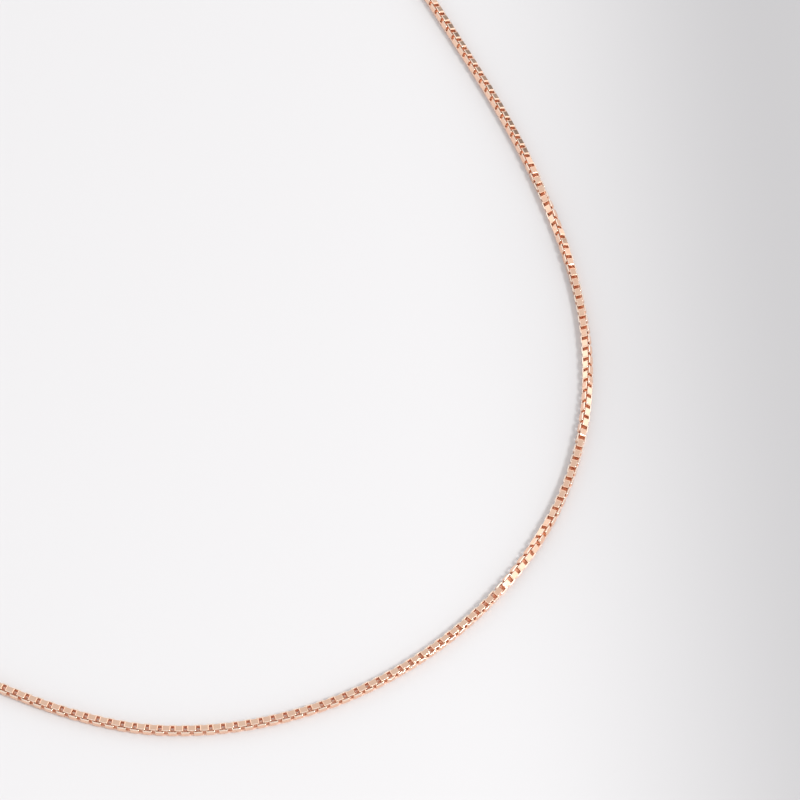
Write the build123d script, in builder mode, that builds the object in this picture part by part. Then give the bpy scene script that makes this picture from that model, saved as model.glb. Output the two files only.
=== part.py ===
"""A fine box-chain necklace, 445 mm end to end, laid open on a surface, in millimetres.

The chain is box (Venetian) chain: every link is a flat strip bent into a square ring, each a quarter turn
round from the one before, so that a link's end bar sits inside the next link's opening. Links are numbered
from the front centre of the necklace: link 0 lies there, positive numbers run round the right-hand side and
negative ones round the left. They are grouped in runs, and the necklace bends at the joint between two runs.

The frame has +Z up from the surface, +X to the right and +Y away from the front centre. The origin is on
the surface, under link 0.
"""

from build123d import *
import math
import os

# The link: a strip bent into a square ring, which is as long as it is wide
LINK_SIDE = 1.35
STRIP_THICKNESS = 0.195
STRIP_WIDTH = 0.82
LINK_CORNER = 0.26

# Free play between the end bars of two linked links, within a run and where two runs meet
LINK_PLAY = 0.06
RUN_PLAY = 0.11

LINKS_PER_RUN = 9
RUNS_PER_SIDE = 26

# The chain's line on the surface: (length along the chain from link 0, heading in degrees from +X)
HEADINGS = [
    (-230, -91), (-190, -93), (-150, -91), (-115, -82), (-75, -60), (-40, -34), (-12, -15.5),
    (0, 0), (30, 30.5), (60, 58), (90, 87.5), (110, 103.5), (130, 112), (150, 117.5), (163, 118),
    (195, 108), (230, 96),
]

# How far the chain is turned about its own line, right-handed in walking order: it lies flat at 0 and at
# every quarter turn
TURNS = [
    (-230, -90), (-212, -90), (-192, -82), (-75, -12), (-48, 0), (48, 0), (55, 35), (60, 47),
    (68, 84), (77, 92), (84, 122), (91, 138), (98, 160), (108, 183), (115, 208), (122, 246),
    (128, 281), (133, 296), (146, 299), (160, 292), (180, 276), (198, 270), (230, 270),
]

# Jump rings, which stand upright between the chain's ends and the fittings
RING_RADIUS = 0.975
RING_WIRE = 0.45
RING_CUT = 4
RING_FROM_LINK = 1.08
RING_HEIGHT = RING_RADIUS + RING_WIRE / 2
END_LIFT_LENGTH = 12

# The soldered ring that the clasp hooks on to
END_RING_RADIUS = 1.9
END_RING_WIRE = 0.6
FITTING_GAP = 0.04

# The lobster clasp, in its own plane: +Y from its eye to its hook, and the gate on the +X side
CLASP_THICKNESS = 2.4
CLASP_EDGE = 0.45
EYE_RADIUS = 0.9
EYE_WIRE = 0.6
NECK_Y = 1.75
NECK_RADIUS = 0.9
BOW_Y = 6.1
BOW_RADIUS = 2.7
OPENING_X = 0.1
OPENING_Y = 6.2
OPENING_RADIUS = 1.55
OPENING_FOOT = (-0.1, 4.3)
OPENING_FOOT_RADIUS = 0.8
PIVOT = (0.85, 2.95)
PIN_RADIUS = 0.3
PIN_CLEARANCE = 0.03
LEVER_THICKNESS = 0.95
LEVER_HUB_RADIUS = 0.6
LEVER_REACH = 4.3
LEVER_GAP = 0.06
SLOT_THICKNESS = 1.1
SLOT_LEFT = -0.45
SLOT_BOTTOM = 2.05
GATE_BOTTOM = 3.9
THUMB_TAB = (1.75, 2.6)
THUMB_TAB_RADIUS = 0.42
SPRING_STRIP = 0.1
SPRING_WIDTH = 0.7


def smooth(stations, at):
    """A smooth curve through the stations that never overshoots them, read at one place."""
    slopes = [(b[1] - a[1]) / (b[0] - a[0]) for a, b in zip(stations, stations[1:])]
    tangents = [0.0]
    for before, after in zip(slopes, slopes[1:]):
        same_way = before * after > 0
        tangents.append(2 * before * after / (before + after) if same_way else 0.0)
    tangents.append(slopes[-1])
    i = max(k for k in range(len(slopes)) if at >= stations[k][0] or k == 0)
    width = stations[i + 1][0] - stations[i][0]
    t = (at - stations[i][0]) / width
    start, end = stations[i][1], stations[i + 1][1]
    ease = t * t * (3 - 2 * t)
    bow = t * (1 - t) * ((1 - t) * tangents[i] - t * tangents[i + 1]) * width
    return start + (end - start) * ease + bow


LINK_PITCH = LINK_SIDE - 2 * STRIP_THICKNESS - LINK_PLAY
RUN_PITCH = LINK_SIDE - 2 * STRIP_THICKNESS - RUN_PLAY
HALF_RUN = LINKS_PER_RUN // 2
LAST_LINK = HALF_RUN + RUNS_PER_SIDE * LINKS_PER_RUN


def run_of(link):
    """The number of the run that a link belongs to: 0 at the front, negative on the left."""
    return math.floor((link + HALF_RUN) / LINKS_PER_RUN)


def length_at(link):
    """The length along the chain from the front centre to a link's middle."""
    return link * LINK_PITCH - run_of(link) * (LINK_PITCH - RUN_PITCH)


def resting_height(turn):
    """The height of the chain's line when its lowest edge just touches the surface."""
    cosine = abs(math.cos(math.radians(turn)))
    sine = abs(math.sin(math.radians(turn)))
    tall, flat = LINK_SIDE / 2, STRIP_WIDTH / 2
    return max(tall * cosine + flat * sine, flat * cosine + tall * sine)


def end_lift(length):
    """How far the chain's last few millimetres rise to meet the upright jump ring."""
    left_over = length_at(LAST_LINK) - abs(length)
    t = min(max(1 - left_over / END_LIFT_LENGTH, 0), 1)
    return (RING_HEIGHT - resting_height(0)) * t * t * (3 - 2 * t)


def lay_links():
    """Each link's middle, walked out from the front centre along the headings."""
    middles = {0: Vector(0, 0, 0)}
    for side in (1, -1):
        for step in range(LAST_LINK):
            link, following = side * step, side * (step + 1)
            here, there = length_at(link), length_at(following)
            heading = math.radians(smooth(HEADINGS, (here + there) / 2))
            stride = Vector(math.cos(heading), math.sin(heading), 0) * (there - here)
            middles[following] = middles[link] + stride
    for link, middle in middles.items():
        length = length_at(link)
        middle.Z = resting_height(smooth(TURNS, length)) + end_lift(length)
    return middles


MIDDLES = lay_links()


def link_plane(link):
    """A link's plane: x along the chain, z square to the plates of its ring's strip."""
    before = MIDDLES[max(link - 1, -LAST_LINK)]
    after = MIDDLES[min(link + 1, LAST_LINK)]
    along = (after - before).normalized()
    quarter_turn = 90 * (link % 2)
    turn = smooth(TURNS, length_at(link)) + quarter_turn
    upright = (Vector(0, 0, 1) - along * along.Z).normalized()
    return Plane(origin=MIDDLES[link], x_dir=along, z_dir=upright.rotate(Axis((0, 0, 0), along), turn))


def run_name(run):
    """The name of a run's node."""
    if run == 0:
        return "chain_front"
    return f"chain_{'right' if run > 0 else 'left'}_{abs(run):02d}"


def build_link():
    """One link, with its ring's axis along Y."""
    with BuildPart() as link:
        with BuildSketch(Plane.XZ):
            RectangleRounded(LINK_SIDE, LINK_SIDE, LINK_CORNER)
            opening = LINK_SIDE - 2 * STRIP_THICKNESS
            RectangleRounded(opening, opening, LINK_CORNER - STRIP_THICKNESS, mode=Mode.SUBTRACT)
        extrude(amount=STRIP_WIDTH / 2, both=True)
    return link.part


def build_run(run, link):
    """One run of the chain, whose links are separate solids."""
    first = run * LINKS_PER_RUN - HALF_RUN
    planes = [link_plane(number) for number in range(first, first + LINKS_PER_RUN)]
    with BuildPart() as chain_run:
        with Locations(*planes):
            add(link)
    return chain_run.part


def end_plane(side):
    """A plane at one end's jump ring: x out from the chain, z up, its origin the ring's centre."""
    last = MIDDLES[side * LAST_LINK]
    heading = math.radians(smooth(HEADINGS, side * length_at(LAST_LINK)))
    outward = Vector(math.cos(heading), math.sin(heading), 0) * side
    return Plane(origin=last + outward * RING_FROM_LINK, x_dir=outward, z_dir=(0, 0, 1))


def build_jump_ring(side):
    """A jump ring, standing upright in line with the chain, with its cut at the top."""
    centre = end_plane(side)
    ring_plane = Plane(origin=centre.origin, x_dir=centre.x_dir, z_dir=-centre.y_dir)
    with BuildPart() as jump_ring:
        with BuildSketch(Plane(origin=ring_plane.origin, x_dir=ring_plane.y_dir, z_dir=ring_plane.x_dir)):
            with Locations((RING_RADIUS, 0)):
                Circle(RING_WIRE / 2)
        revolve(axis=Axis(ring_plane.origin, ring_plane.z_dir), revolution_arc=360 - RING_CUT)
    return jump_ring.part


def build_end_ring():
    """The soldered end ring: one side hangs in the jump ring and the other rests on the surface."""
    centre = end_plane(1)
    near = RING_RADIUS - RING_WIRE / 2 - FITTING_GAP - END_RING_WIRE / 2
    drop = RING_HEIGHT - END_RING_WIRE / 2
    tilt = math.asin(drop / (2 * END_RING_RADIUS))
    middle = centre.origin + centre.x_dir * (near + END_RING_RADIUS * math.cos(tilt))
    middle.Z = RING_HEIGHT - drop / 2
    down_slope = centre.x_dir * math.cos(tilt) - Vector(0, 0, math.sin(tilt))
    with BuildPart() as end_ring:
        with BuildSketch(Plane(origin=middle, x_dir=down_slope, z_dir=centre.y_dir)):
            with Locations((END_RING_RADIUS, 0)):
                Circle(END_RING_WIRE / 2)
        revolve(axis=Axis(middle, down_slope.cross(centre.y_dir)))
    return end_ring.part


def clasp_plane():
    """The clasp's middle plane: its origin is the eye's centre and y runs from the eye to the hook."""
    centre = end_plane(-1)
    near = RING_RADIUS - RING_WIRE / 2 - FITTING_GAP - EYE_WIRE / 2
    eye = centre.origin + centre.x_dir * (near + EYE_RADIUS)
    return Plane(origin=eye, x_dir=-centre.y_dir, z_dir=(0, 0, 1))


def bow_outline(inset=0):
    """The clasp's outer outline, a small circle at the neck and a large one at the bow, joined."""
    with Locations((0, NECK_Y)):
        Circle(NECK_RADIUS - inset)
    with Locations((0, BOW_Y)):
        Circle(BOW_RADIUS - inset)
    make_hull()


def build_clasp_opening(plane, margin):
    """The clasp's hook opening as a plain block, larger all round by a margin."""
    with BuildPart() as opening:
        with BuildSketch(plane.offset(-CLASP_THICKNESS)):
            with Locations((OPENING_X, OPENING_Y)):
                Circle(OPENING_RADIUS + margin)
            with Locations(OPENING_FOOT):
                Circle(OPENING_FOOT_RADIUS + margin)
            make_hull()
        extrude(amount=2 * CLASP_THICKNESS)
    return opening.part


def build_clasp_body(plane):
    """The claw: an eye, a neck and a bow whose right-hand side is open for the lever's gate."""
    opening = build_clasp_opening(plane, 0)
    with BuildPart() as clasp_body:
        with BuildSketch(plane.offset(-CLASP_THICKNESS / 2)):
            bow_outline()
        extrude(amount=CLASP_THICKNESS)
        rims = clasp_body.faces().filter_by(Axis.Z).edges()
        fillet(rims, radius=CLASP_EDGE)
        add(opening, mode=Mode.SUBTRACT)
        # The gateway, whose upper end is an arc about the lever's pivot
        with BuildSketch(plane.offset(-CLASP_THICKNESS)):
            with Locations(PIVOT):
                Circle(LEVER_REACH + 2 * LEVER_GAP)
            with Locations((OPENING_X, GATE_BOTTOM)):
                Rectangle(2 * BOW_RADIUS, 2 * BOW_RADIUS, align=(Align.MIN, Align.MIN), mode=Mode.INTERSECT)
        extrude(amount=2 * CLASP_THICKNESS, mode=Mode.SUBTRACT)
        # The slot that the lever turns in, between two cheeks
        with BuildSketch(plane.offset(-SLOT_THICKNESS / 2)):
            with Locations((SLOT_LEFT, SLOT_BOTTOM)):
                Rectangle(BOW_RADIUS, BOW_RADIUS, align=(Align.MIN, Align.MIN))
        extrude(amount=SLOT_THICKNESS, mode=Mode.SUBTRACT)
        with BuildSketch(plane.offset(-CLASP_THICKNESS)):
            with Locations(PIVOT):
                Circle(PIN_RADIUS)
        extrude(amount=2 * CLASP_THICKNESS, mode=Mode.SUBTRACT)
        # The eye, whose hole takes the jump ring
        with BuildSketch(Plane(origin=plane.origin, x_dir=plane.x_dir, z_dir=plane.y_dir)):
            with Locations((EYE_RADIUS, 0)):
                Circle(EYE_WIRE / 2)
        revolve(axis=Axis(plane.origin, plane.z_dir))
    return clasp_body.part


def build_clasp_lever(plane):
    """The lever: a hub, a gate that closes the bow and a thumb tab outside it."""
    opening = build_clasp_opening(plane, LEVER_GAP)
    with BuildPart() as clasp_lever:
        with BuildSketch(plane.offset(-LEVER_THICKNESS / 2)):
            bow_outline(LEVER_GAP)
            with Locations(PIVOT):
                Circle(LEVER_REACH, mode=Mode.INTERSECT)
            with Locations(PIVOT):
                Rectangle(2 * BOW_RADIUS, 2 * BOW_RADIUS, align=(Align.MIN, Align.MIN), mode=Mode.INTERSECT)
        extrude(amount=LEVER_THICKNESS)
        add(opening, mode=Mode.SUBTRACT)
        with BuildSketch(plane.offset(-LEVER_THICKNESS / 2)):
            with Locations(PIVOT):
                Circle(LEVER_HUB_RADIUS)
            with Locations(THUMB_TAB):
                Circle(THUMB_TAB_RADIUS)
            make_hull()
        extrude(amount=LEVER_THICKNESS)
        with BuildSketch(plane.offset(-LEVER_THICKNESS)):
            with Locations(PIVOT):
                Circle(PIN_RADIUS + PIN_CLEARANCE)
        extrude(amount=2 * LEVER_THICKNESS, mode=Mode.SUBTRACT)
    return clasp_lever.part


def build_clasp_pin(plane):
    """The rivet that the lever turns on, flush with both cheeks."""
    with BuildPart() as clasp_pin:
        with BuildSketch(plane.offset(-CLASP_THICKNESS / 2)):
            with Locations(PIVOT):
                Circle(PIN_RADIUS)
        extrude(amount=CLASP_THICKNESS)
    return clasp_pin.part


def build_clasp_spring(plane):
    """A bent leaf in the slot, with one leg on the slot's wall and the other behind the lever."""
    wall = SLOT_LEFT + SPRING_STRIP / 2 + 0.01
    foot = SLOT_BOTTOM + 0.25
    with BuildPart() as clasp_spring:
        with BuildSketch(plane.offset(-SPRING_WIDTH / 2)):
            with BuildLine():
                FilletPolyline((wall, 3.35), (wall, foot), (wall + 0.5, 3.3), radius=0.08)
                offset(amount=SPRING_STRIP / 2, side=Side.BOTH)
            make_face()
        extrude(amount=SPRING_WIDTH)
    return clasp_spring.part


def save(part, name):
    """Label a finished piece and write it as its own STEP file."""
    part.label = name
    export_step(part, f"parts/{name}.step")


os.makedirs("parts", exist_ok=True)

box_link = build_link()
for run_number in range(-RUNS_PER_SIDE, RUNS_PER_SIDE + 1):
    save(build_run(run_number, box_link), run_name(run_number))

save(build_jump_ring(-1), "jump_ring_left")
save(build_jump_ring(1), "jump_ring_right")
save(build_end_ring(), "end_ring")

clasp = clasp_plane()
save(build_clasp_body(clasp), "clasp_body")
save(build_clasp_lever(clasp), "clasp_lever")
save(build_clasp_pin(clasp), "clasp_pin")
save(build_clasp_spring(clasp), "clasp_spring")
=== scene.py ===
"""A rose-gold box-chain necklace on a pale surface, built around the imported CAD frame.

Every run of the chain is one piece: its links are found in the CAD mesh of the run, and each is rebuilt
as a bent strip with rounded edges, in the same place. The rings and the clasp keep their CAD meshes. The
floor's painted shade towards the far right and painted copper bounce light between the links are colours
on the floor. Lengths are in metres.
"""

import math

import bpy
import numpy as np
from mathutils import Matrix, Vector


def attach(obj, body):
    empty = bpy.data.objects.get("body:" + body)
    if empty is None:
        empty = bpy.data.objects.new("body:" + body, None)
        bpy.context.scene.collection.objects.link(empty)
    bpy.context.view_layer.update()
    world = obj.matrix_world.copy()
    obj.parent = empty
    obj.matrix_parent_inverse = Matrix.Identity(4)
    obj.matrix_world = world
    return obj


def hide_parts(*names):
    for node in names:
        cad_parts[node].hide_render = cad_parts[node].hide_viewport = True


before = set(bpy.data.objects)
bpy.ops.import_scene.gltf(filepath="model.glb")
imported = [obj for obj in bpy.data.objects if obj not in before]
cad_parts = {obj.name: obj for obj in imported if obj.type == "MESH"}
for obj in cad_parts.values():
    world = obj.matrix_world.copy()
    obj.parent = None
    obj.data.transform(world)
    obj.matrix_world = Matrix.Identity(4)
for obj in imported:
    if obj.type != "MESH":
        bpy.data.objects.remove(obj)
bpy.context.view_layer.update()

MM = 0.001

# The link's strip, as in the CAD part
LINK_SIDE = 1.35 * MM
STRIP_THICKNESS = 0.195 * MM
STRIP_WIDTH = 0.82 * MM
LINK_CORNER = 0.26 * MM
STRIP_EDGE = 0.05 * MM
CORNER_STEPS = 8
EDGE_STEPS = 3

# Rose gold: two tones that it drifts between, its inner faces, redder with painted copper bounce light,
# and its edges, paler where rubbed and with a painted highlight
TONES = ((0.93, 0.60, 0.445), (0.955, 0.665, 0.50))
INNER_PAINTED_BOUNCE_TONE = (0.95, 0.58, 0.43)
RUBBED_AND_SHEEN_TONE = (1.0, 0.85, 0.72)

# How much rougher the inner faces are, which polishing doesn't reach
INNER_DULLNESS = 0.25

# Sizes of the metals' patterns, as noise scales
TONE_SCALE = 350.0
POLISH_SCALE = 2600.0
SCRATCH_SCALE = 9000.0
GRAIN_SCALE = 6000.0
SCRATCH_DEPTH = 0.02 * MM

# How far a link may hang crooked in its neighbours
LINK_TILT = math.radians(0.8)
SEED = 7

# Points of the CAD mesh that are closer than this are one
WELD = 0.001 * MM

# The camera: what it looks at, how far it is above the surface and its lens
LOOK_AT = Vector((31.17, 54.78, 0)) * MM
CAMERA_DISTANCE = 875 * MM
CAMERA_ELEVATION = math.radians(59)
CAMERA_LENS = 270

# The studio: its brightness near the horizon and overhead, the heights between which it changes, and
# the key softbox on the right
STUDIO_LOW = 1.18
STUDIO_HIGH = 0.76
STUDIO_BENDS = (0.5, 0.85)
KEY_AZIMUTH = math.radians(-27)
KEY_ELEVATION = math.radians(48)
KEY_DISTANCE = 1.0
KEY_SIZE = 0.2
KEY_POWER = 4.8

# Round patches of the studio: azimuth, elevation, radius and blurred edge in degrees, and brightness.
# They are a reflector on the right, a window far to the left, one to the right, and a dark flag behind
PATCHES = [
    (-7, 30, 14, 10, 1.45),
    (143, 18, 12, 12, 1.5),
    (30, 18, 10, 10, 1.6),
    (55, 19, 5, 8, 0.25),
]

# The floor's size and colour, and where painted shade darkens the colour towards the far right, standing
# in for the light's fall-off
FLOOR_SIZE = 6.0
FLOOR_LIGHT = (0.69, 0.681, 0.689)
FLOOR_PAINTED_SHADE = (0.46, 0.453, 0.462)
FALL_OFF_SLANT = 0.08
FALL_OFF_START = 34 * MM
FALL_OFF_END = 98 * MM
FALL_OFF_EASE = 1.3

# The floor's painted copper bounce light between the links, and how open to the sky it is where the
# painted tint starts and is full
PAINTED_COPPER_BOUNCE = (1.0, 0.66, 0.52)
GLOW_REACH = 1.3 * MM
GLOW_OPEN = 0.5
GLOW_COVERED = 0.25


# ---------------------------------------------------------------- materials

def new_material(name):
    """A node material, with its node tree and its shader."""
    material = bpy.data.materials.new(name)
    material.use_nodes = True
    tree = material.node_tree
    return material, tree, tree.nodes["Principled BSDF"]


def object_coordinates(tree, scale):
    """The object's own coordinates, stretched by a scale on each axis."""
    where = tree.nodes.new("ShaderNodeTexCoord")
    mapping = tree.nodes.new("ShaderNodeMapping")
    mapping.inputs["Scale"].default_value = scale
    tree.links.new(where.outputs["Object"], mapping.inputs["Vector"])
    return mapping.outputs["Vector"]


def noise(tree, vector, scale, detail=3.0):
    """A noise texture's factor."""
    node = tree.nodes.new("ShaderNodeTexNoise")
    node.inputs["Scale"].default_value = scale
    node.inputs["Detail"].default_value = detail
    tree.links.new(vector, node.inputs["Vector"])
    return node.outputs["Fac"]


def remap(tree, value, low, high):
    """A factor from 0 to 1 spread over a range."""
    node = tree.nodes.new("ShaderNodeMapRange")
    node.inputs["From Min"].default_value = 0.25
    node.inputs["From Max"].default_value = 0.75
    node.inputs["To Min"].default_value = low
    node.inputs["To Max"].default_value = high
    tree.links.new(value, node.inputs["Value"])
    return node.outputs["Result"]


def colour_between(tree, value, first, second):
    """A colour between two, by a factor."""
    ramp = tree.nodes.new("ShaderNodeValToRGB")
    ramp.color_ramp.elements[0].position = 0.3
    ramp.color_ramp.elements[0].color = (*first, 1)
    ramp.color_ramp.elements[1].position = 0.7
    ramp.color_ramp.elements[1].color = (*second, 1)
    tree.links.new(value, ramp.inputs["Fac"])
    return ramp.outputs["Color"]


def attribute(tree, name):
    """A number that the mesh holds at each point."""
    node = tree.nodes.new("ShaderNodeAttribute")
    node.attribute_name = name
    return node.outputs["Fac"]


def mixed(tree, share, first, second):
    """One colour laid over another by a factor. Each is a colour or a socket."""
    node = tree.nodes.new("ShaderNodeMix")
    node.data_type = "RGBA"
    tree.links.new(share, node.inputs["Factor"])
    for socket, colour in ((node.inputs[6], first), (node.inputs[7], second)):
        if isinstance(colour, tuple):
            socket.default_value = (*colour, 1)
        else:
            tree.links.new(colour, socket)
    return node.outputs[2]


def rose_gold(name, roughness_low, roughness_high, dent):
    """Polished rose-gold plating: a slow drift of colour, uneven polish and faint dents and scratches.

    It is paler at the edges, where they rub and with a painted highlight, and redder on the inner faces
    as painted copper light bounced between the links; there it is also duller, as polishing doesn't reach
    them.
    """
    material, tree, shader = new_material(name)
    shader.inputs["Metallic"].default_value = 1.0
    vector = object_coordinates(tree, (1, 1, 1))
    colour = colour_between(tree, noise(tree, vector, TONE_SCALE), *TONES)
    inner_face = attribute(tree, "inner_face")
    # Painted light: the inner faces are redder, a painted stand-in for copper light bounced between the
    # links
    colour = mixed(tree, inner_face, colour, INNER_PAINTED_BOUNCE_TONE)
    # Paler edges: rubbed plating, and a painted highlight where the edges mirror bright surroundings
    colour = mixed(tree, attribute(tree, "rubbed_edge_and_sheen"), colour, RUBBED_AND_SHEEN_TONE)
    tree.links.new(colour, shader.inputs["Base Color"])
    polish = remap(tree, noise(tree, vector, POLISH_SCALE), roughness_low, roughness_high)
    dull = tree.nodes.new("ShaderNodeMath")
    dull.operation = "MULTIPLY_ADD"
    dull.inputs[1].default_value = INNER_DULLNESS
    tree.links.new(inner_face, dull.inputs[0])
    tree.links.new(polish, dull.inputs[2])
    tree.links.new(dull.outputs["Value"], shader.inputs["Roughness"])
    scratched = object_coordinates(tree, (1, 0.15, 1))
    fine = noise(tree, scratched, SCRATCH_SCALE, detail=5.0)
    bump = tree.nodes.new("ShaderNodeBump")
    bump.inputs["Strength"].default_value = dent
    bump.inputs["Distance"].default_value = SCRATCH_DEPTH
    tree.links.new(fine, bump.inputs["Height"])
    tree.links.new(bump.outputs["Normal"], shader.inputs["Normal"])
    return material


def spring_steel():
    """Cold-rolled steel strip, with a grain along it."""
    material, tree, shader = new_material("spring_steel")
    shader.inputs["Metallic"].default_value = 1.0
    grain = noise(tree, object_coordinates(tree, (1, 0.1, 1)), GRAIN_SCALE)
    colour = colour_between(tree, grain, (0.42, 0.42, 0.43), (0.6, 0.6, 0.6))
    tree.links.new(colour, shader.inputs["Base Color"])
    tree.links.new(remap(tree, grain, 0.25, 0.4), shader.inputs["Roughness"])
    return material


# ---------------------------------------------------------------- the links

def rounded_outline(half_width, half_height, radius, steps):
    """Points and outward normals round a rectangle with round corners."""
    points, normals = [], []
    corners = [(1, 1, 0), (-1, 1, 90), (-1, -1, 180), (1, -1, 270)]
    for sign_x, sign_y, start in corners:
        for step in range(steps + 1):
            angle = math.radians(start + 90 * step / steps)
            normal = (math.cos(angle), math.sin(angle))
            normals.append(normal)
            points.append((
                sign_x * (half_width - radius) + radius * normal[0],
                sign_y * (half_height - radius) + radius * normal[1],
            ))
    return np.array(points), np.array(normals)


def swept_link():
    """One link about the origin, its ring's axis along Y: points, normals, faces, inner faces, rubbing
    and painted highlight.

    The strip's cut edges and the rounding beside them are rubbed and carry a painted highlight, and its
    flat outer faces don't.
    """
    middle = LINK_SIDE / 2 - STRIP_THICKNESS / 2
    path, outward = rounded_outline(middle, middle, LINK_CORNER - STRIP_THICKNESS / 2, CORNER_STEPS)
    section, section_out = rounded_outline(STRIP_THICKNESS / 2, STRIP_WIDTH / 2, STRIP_EDGE, EDGE_STEPS)
    points, normals, inner, rub_and_sheen = [], [], [], []
    for place, out in zip(path, outward):
        for (thick, wide), (thick_out, wide_out) in zip(section, section_out):
            points.append((place[0] + out[0] * thick, wide, place[1] + out[1] * thick))
            normals.append((out[0] * thick_out, wide_out, out[1] * thick_out))
            inner.append(float(thick < 0))
            at_edge = thick > 0 or abs(wide_out) > 0.9
            rub_and_sheen.append(min(1.0, 2 * abs(wide_out)) if at_edge else 0.0)
    around, along = len(section), len(path)
    faces = []
    for i in range(along):
        following = (i + 1) % along
        for j in range(around):
            beside = (j + 1) % around
            near, far = i * around, following * around
            faces.append((near + j, near + beside, far + beside, far + j))
    return np.array(points), np.array(normals), np.array(faces), np.array(inner), np.array(rub_and_sheen)


def separate_solids(node):
    """The points of each loose part of a CAD node's mesh."""
    mesh = node.data
    places = np.empty(len(mesh.vertices) * 3)
    mesh.vertices.foreach_get("co", places)
    places = places.reshape(-1, 3)
    _, welded = np.unique(np.round(places / (WELD)).astype(np.int64), axis=0, return_inverse=True)
    welded = welded.reshape(-1)
    edges = np.empty(len(mesh.edges) * 2, np.int64)
    mesh.edges.foreach_get("vertices", edges)
    first, second = welded[edges.reshape(-1, 2)].T
    label = np.arange(welded.max() + 1)
    while True:
        lowest = np.minimum(label[first], label[second])
        spread = label.copy()
        np.minimum.at(spread, first, lowest)
        np.minimum.at(spread, second, lowest)
        spread = spread[spread]
        if (spread == label).all():
            break
        label = spread
    kinds = label[welded]
    solids = []
    for kind in np.unique(kinds):
        own = places[kinds == kind]
        _, keep = np.unique(np.round(own / (WELD)).astype(np.int64), axis=0, return_index=True)
        solids.append(own[keep])
    return solids


def link_axes(points, towards):
    """A link's axes as rows: x nearly along the chain, y along its ring's axis, z square to both."""
    centred = points - points.mean(0)
    spread, directions = np.linalg.eigh(centred.T @ centred)
    y = directions[:, int(np.argmin(spread))]
    x = towards - y * (towards @ y)
    x /= np.linalg.norm(x)
    z = np.cross(x, y)
    # A square ring's corners fix its turn about its own axis, up to quarter turns
    corner_sum = np.sum(((centred @ x) + 1j * (centred @ z)) ** 4)
    turn = np.angle(-corner_sum) / 4
    x, z = x * math.cos(turn) + z * math.sin(turn), z * math.cos(turn) - x * math.sin(turn)
    return np.array([x, y, z])


def small_turn(random):
    """A small random rotation."""
    a, b, c = random.uniform(-LINK_TILT, LINK_TILT, 3)
    turn = np.array([[1, -c, b], [c, 1, -a], [-b, a, 1]])
    square, triangle = np.linalg.qr(turn)
    return square * np.sign(np.diag(triangle))


def mesh_piece(name, points, normals, faces, material):
    """A mesh object with its exact normals."""
    mesh = bpy.data.meshes.new(name)
    mesh.from_pydata(points.tolist(), [], faces.tolist())
    mesh.polygons.foreach_set("use_smooth", [True] * len(mesh.polygons))
    mesh.normals_split_custom_set_from_vertices(normals.tolist())
    mesh.materials.append(material)
    mesh.update()
    piece = bpy.data.objects.new(name, mesh)
    bpy.context.scene.collection.objects.link(piece)
    return piece


def build_run(node_name, template, material, random):
    """One run of the chain as one piece, a link for each solid of its CAD node."""
    solids = separate_solids(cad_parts[node_name])
    centres = np.array([solid.mean(0) for solid in solids])
    spread, directions = np.linalg.eigh(np.cov(centres.T))
    # The chain runs along the direction in which the links' centres spread most
    order = np.argsort(centres @ directions[:, int(np.argmax(spread))])
    centres = centres[order]
    towards = np.gradient(centres, axis=0)
    link_points, link_normals, link_faces, inner, rub_and_sheen = template
    points, normals, faces = [], [], []
    for place, index in enumerate(order):
        axes = small_turn(random) @ link_axes(solids[index], towards[place])
        points.append(link_points @ axes + centres[place])
        normals.append(link_normals @ axes)
        faces.append(link_faces + place * len(link_points))
    name = "links_" + node_name.removeprefix("chain_")
    arrays = [np.concatenate(values) for values in (points, normals, faces)]
    piece = mesh_piece(name, *arrays, material)
    for attribute_name, values in (("inner_face", inner), ("rubbed_edge_and_sheen", rub_and_sheen)):
        layer = piece.data.attributes.new(attribute_name, "FLOAT", "POINT")
        layer.data.foreach_set("value", np.tile(values, len(order)))
    return piece


# ---------------------------------------------------------------- build

chain_gold = rose_gold("rose_gold_chain", 0.10, 0.20, 0.12)
fitting_gold = rose_gold("rose_gold_fittings", 0.08, 0.16, 0.06)
steel = spring_steel()

template = swept_link()
random = np.random.default_rng(SEED)
for node_name in sorted(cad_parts):
    if node_name.startswith("chain_"):
        run = build_run(node_name, template, chain_gold, random)
        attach(run, node_name)
        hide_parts(node_name)

for node_name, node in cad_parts.items():
    if not node_name.startswith("chain_"):
        node.data.materials.clear()
        node.data.materials.append(steel if node_name == "clasp_spring" else fitting_gold)


# ---------------------------------------------------------------- stage

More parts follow.
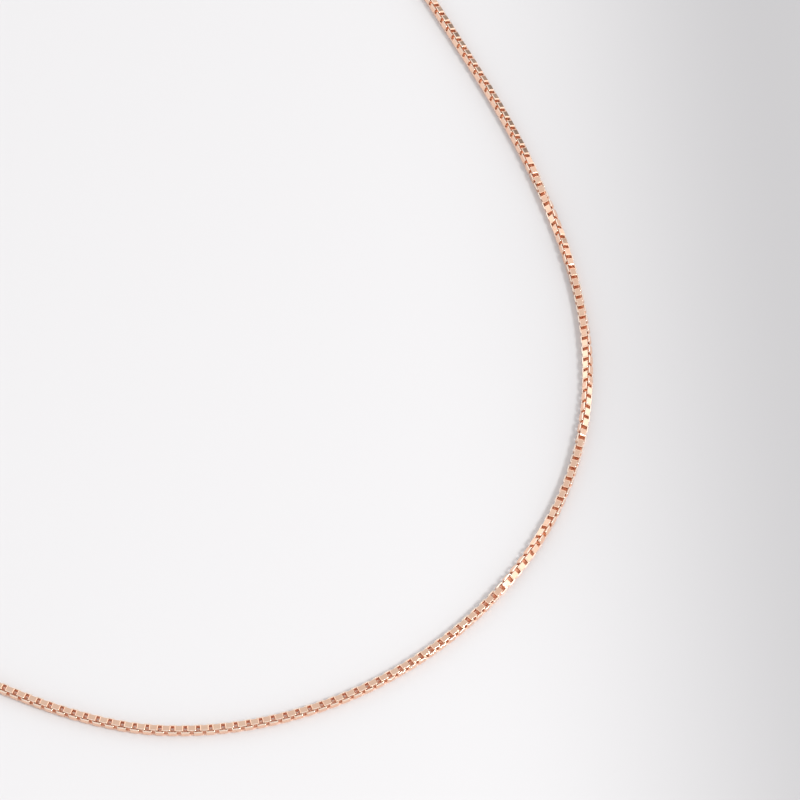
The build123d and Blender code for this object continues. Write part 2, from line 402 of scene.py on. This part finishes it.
def build_floor():
    """A pale sheet under the necklace, with painted shade towards its far right and painted copper bounce
    light between the links.
    """
    material, tree, shader = new_material("pale_surface")
    shader.inputs["Roughness"].default_value = 0.65
    shader.inputs["Specular IOR Level"].default_value = 0.2
    # Painted shade: the floor's colour darkens towards the far right, standing in for the light falling
    # off
    where = tree.nodes.new("ShaderNodeTexCoord")
    across = tree.nodes.new("ShaderNodeVectorMath")
    across.operation = "DOT_PRODUCT"
    across.inputs[1].default_value = (1, FALL_OFF_SLANT, 0)
    tree.links.new(where.outputs["Object"], across.inputs[0])
    place = tree.nodes.new("ShaderNodeMapRange")
    place.inputs["From Min"].default_value = FALL_OFF_START
    place.inputs["From Max"].default_value = FALL_OFF_END
    tree.links.new(across.outputs["Value"], place.inputs["Value"])
    eased = tree.nodes.new("ShaderNodeMath")
    eased.operation = "POWER"
    eased.inputs[1].default_value = FALL_OFF_EASE
    tree.links.new(place.outputs["Result"], eased.inputs[0])
    smoothed = tree.nodes.new("ShaderNodeMapRange")
    smoothed.interpolation_type = "SMOOTHSTEP"
    tree.links.new(eased.outputs["Value"], smoothed.inputs["Value"])
    colour = mixed(tree, smoothed.outputs["Result"], FLOOR_LIGHT, FLOOR_PAINTED_SHADE)
    # Painted light: a copper tint where the links cover the floor, standing in for light bounced between
    # them
    covered = tree.nodes.new("ShaderNodeAmbientOcclusion")
    covered.inputs["Distance"].default_value = GLOW_REACH
    between_links = tree.nodes.new("ShaderNodeMapRange")
    between_links.inputs["From Min"].default_value = GLOW_OPEN
    between_links.inputs["From Max"].default_value = GLOW_COVERED
    tree.links.new(covered.outputs["AO"], between_links.inputs["Value"])
    colour = mixed(tree, between_links.outputs["Result"], colour, PAINTED_COPPER_BOUNCE)
    tree.links.new(colour, shader.inputs["Base Color"])
    mesh = bpy.data.meshes.new("floor")
    half = FLOOR_SIZE / 2
    corners = [(-half, -half, 0), (half, -half, 0), (half, half, 0), (-half, half, 0)]
    mesh.from_pydata(corners, [], [(0, 1, 2, 3)])
    mesh.materials.append(material)
    floor = bpy.data.objects.new("floor", mesh)
    bpy.context.scene.collection.objects.link(floor)


def direction(azimuth, elevation):
    """A unit vector: azimuth from +X towards +Y, elevation above the surface."""
    flat = math.cos(elevation)
    return Vector((flat * math.cos(azimuth), flat * math.sin(azimuth), math.sin(elevation)))


def build_key():
    """A square soft light that shines on what the camera looks at."""
    light = bpy.data.lights.new("key", "AREA")
    light.size = KEY_SIZE
    light.energy = KEY_POWER
    towards = direction(KEY_AZIMUTH, KEY_ELEVATION)
    lamp = bpy.data.objects.new("key", light)
    lamp.location = LOOK_AT + towards * KEY_DISTANCE
    lamp.rotation_euler = towards.to_track_quat("Z", "Y").to_euler()
    bpy.context.scene.collection.objects.link(lamp)


def round_patch(tree, where, towards, radius, blur):
    """A factor that is 1 in a round patch of the studio and falls to 0 over its blurred edge."""
    dot = tree.nodes.new("ShaderNodeVectorMath")
    dot.operation = "DOT_PRODUCT"
    dot.inputs[1].default_value = towards
    tree.links.new(where.outputs["Generated"], dot.inputs[0])
    patch = tree.nodes.new("ShaderNodeMapRange")
    patch.interpolation_type = "SMOOTHSTEP"
    patch.inputs["From Min"].default_value = math.cos(radius + blur)
    patch.inputs["From Max"].default_value = math.cos(radius)
    tree.links.new(dot.outputs["Value"], patch.inputs["Value"])
    return patch.outputs["Result"]


def build_world():
    """A pale studio, brighter low down than overhead, with round patches that the links mirror."""
    world = bpy.data.worlds.new("studio")
    world.use_nodes = True
    tree = world.node_tree
    where = tree.nodes.new("ShaderNodeTexCoord")
    parts = tree.nodes.new("ShaderNodeSeparateXYZ")
    tree.links.new(where.outputs["Generated"], parts.inputs["Vector"])
    height = tree.nodes.new("ShaderNodeValToRGB")
    stops = height.color_ramp.elements
    stops[0].position, stops[0].color = 0.0, (*[STUDIO_LOW] * 3, 1)
    stops[1].position, stops[1].color = 1.0, (*[STUDIO_HIGH] * 3, 1)
    for position, brightness in zip(STUDIO_BENDS, (STUDIO_LOW, STUDIO_HIGH)):
        stops.new(position).color = (*[brightness] * 3, 1)
    tree.links.new(parts.outputs["Z"], height.inputs["Fac"])
    colour = height.outputs["Color"]
    for azimuth, elevation, radius, blur, brightness in PATCHES:
        towards = direction(math.radians(azimuth), math.radians(elevation))
        patch = round_patch(tree, where, towards, math.radians(radius), math.radians(blur))
        colour = mixed(tree, patch, colour, (brightness,) * 3)
    tree.links.new(colour, tree.nodes["Background"].inputs["Color"])
    bpy.context.scene.world = world


def build_camera():
    """The camera, looking along +Y and down."""
    data = bpy.data.cameras.new("camera")
    data.lens = CAMERA_LENS
    data.sensor_width = 36
    data.clip_end = 10
    camera = bpy.data.objects.new("camera", data)
    back = Vector((0, -math.cos(CAMERA_ELEVATION), math.sin(CAMERA_ELEVATION)))
    camera.location = LOOK_AT + back * CAMERA_DISTANCE
    camera.rotation_euler = (math.pi / 2 - CAMERA_ELEVATION, 0, 0)
    bpy.context.scene.collection.objects.link(camera)
    bpy.context.scene.camera = camera


build_floor()
build_world()
build_key()
build_camera()
bpy.context.scene.view_settings.view_transform = "Standard"
